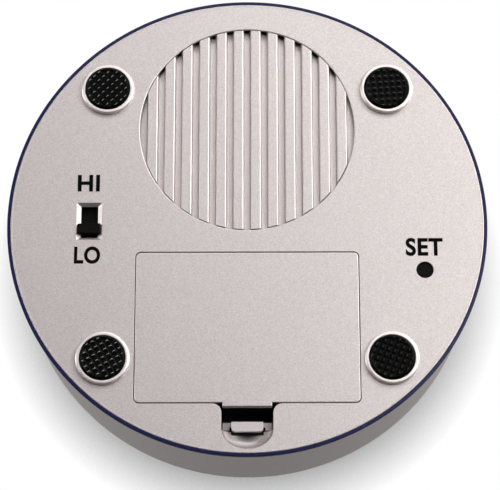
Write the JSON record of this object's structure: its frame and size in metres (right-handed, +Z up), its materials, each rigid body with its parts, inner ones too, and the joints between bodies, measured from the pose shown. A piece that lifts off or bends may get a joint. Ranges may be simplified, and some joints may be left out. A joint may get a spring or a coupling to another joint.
{
  "type": "talking clock",
  "caption": "Round puck-shaped talking clock with a large domed talk button, a ribbed speaker grille in its base, battery cover, volume switch and set button.",
  "frame": {"origin": "centre of the surface that the four feet stand on", "axes": "+Z up through the talk button, +Y towards the speaker grille's side, -Y towards the battery latch, +X towards the volume switch"},
  "size_m": [0.1106, 0.1106, 0.042],
  "materials": {
    "silver_plastic": "satin silver paint with a fine metallic grain",
    "blue_plastic": "gloss",
    "black_plastic": "satin",
    "rubber": "knurled",
    "spring_steel": "bright",
    "pressed_steel": "plated",
    "contact_metal": "nickel plated",
    "magnet": "ferrite",
    "cone_paper": "paper",
    "battery_cell": "sleeved can",
    "circuit_board": "solder mask",
    "capacitor_can": "sleeved can"
  },
  "bodies": {
    "case": {"base_housing": "silver_plastic", "trim_ring": "blue_plastic", "speaker_grille": "silver_plastic", "upper_shell": "silver_plastic", "button_springs": "spring_steel", "foot_pad_1": "rubber", "foot_pad_2": "rubber", "foot_pad_3": "rubber", "foot_pad_4": "rubber", "case_screws": "spring_steel", "speaker_gasket": "rubber", "speaker_frame": "pressed_steel", "speaker_cone": "cone_paper", "speaker_dust_cap": "cone_paper", "speaker_magnet": "magnet", "speaker_yoke": "pressed_steel", "speaker_clamp_screws": "spring_steel", "battery_cell_1": "battery_cell", "battery_cell_2": "battery_cell", "battery_cell_3": "battery_cell", "contact_negative": "contact_metal", "contact_link_first": "contact_metal", "contact_link_second": "contact_metal", "contact_positive": "contact_metal", "volume_switch": "pressed_steel", "volume_board": "circuit_board", "volume_board_screws": "spring_steel", "set_switch": "black_plastic", "set_board": "circuit_board", "set_board_screws": "spring_steel", "main_board": "circuit_board", "main_board_screws": "spring_steel", "contact_dome": "rubber", "chip_blob": "black_plastic", "crystal": "pressed_steel", "capacitors": "capacitor_can", "chip_resistors": "black_plastic"},
    "talk_button": {"talk_button": "blue_plastic"},
    "battery_cover": {"battery_cover": "silver_plastic"},
    "cover_latch": {"cover_latch": "silver_plastic"},
    "volume_knob": {"volume_knob": "black_plastic"},
    "set_button": {"set_button": "black_plastic", "set_plunger": "black_plastic"}
  },
  "joints": [
    {"name": "talk_press", "type": "slide", "parent": "case", "child": "talk_button", "axis": [0, 0, -1], "range_m": [0, 0.0015], "stiffness_N_per_m": 1200, "springref_m": -0.001, "deforming": ["button_springs", "contact_dome"]},
    {"name": "set_press", "type": "slide", "parent": "case", "child": "set_button", "axis": [0, 0, 1], "range_m": [0, 0.0005], "stiffness_N_per_m": 2500, "springref_m": -0.0004},
    {"name": "volume_slide", "type": "slide", "parent": "case", "child": "volume_knob", "axis": [0, 1, 0], "range_m": [0, 0.0038]},
    {"name": "cover_open", "type": "hinge", "parent": "case", "child": "battery_cover", "pos_m": [0, -0.00771, 0.0018], "axis": [1, 0, 0], "range_deg": [0, 75]},
    {"name": "latch_press", "type": "hinge", "parent": "battery_cover", "child": "cover_latch", "pos_m": [0, -0.048, 0.009], "axis": [1, 0, 0], "range_deg": [0, 12], "stiffness_Nm_per_rad": 0.15, "springref_deg": -2.86}
  ]
}
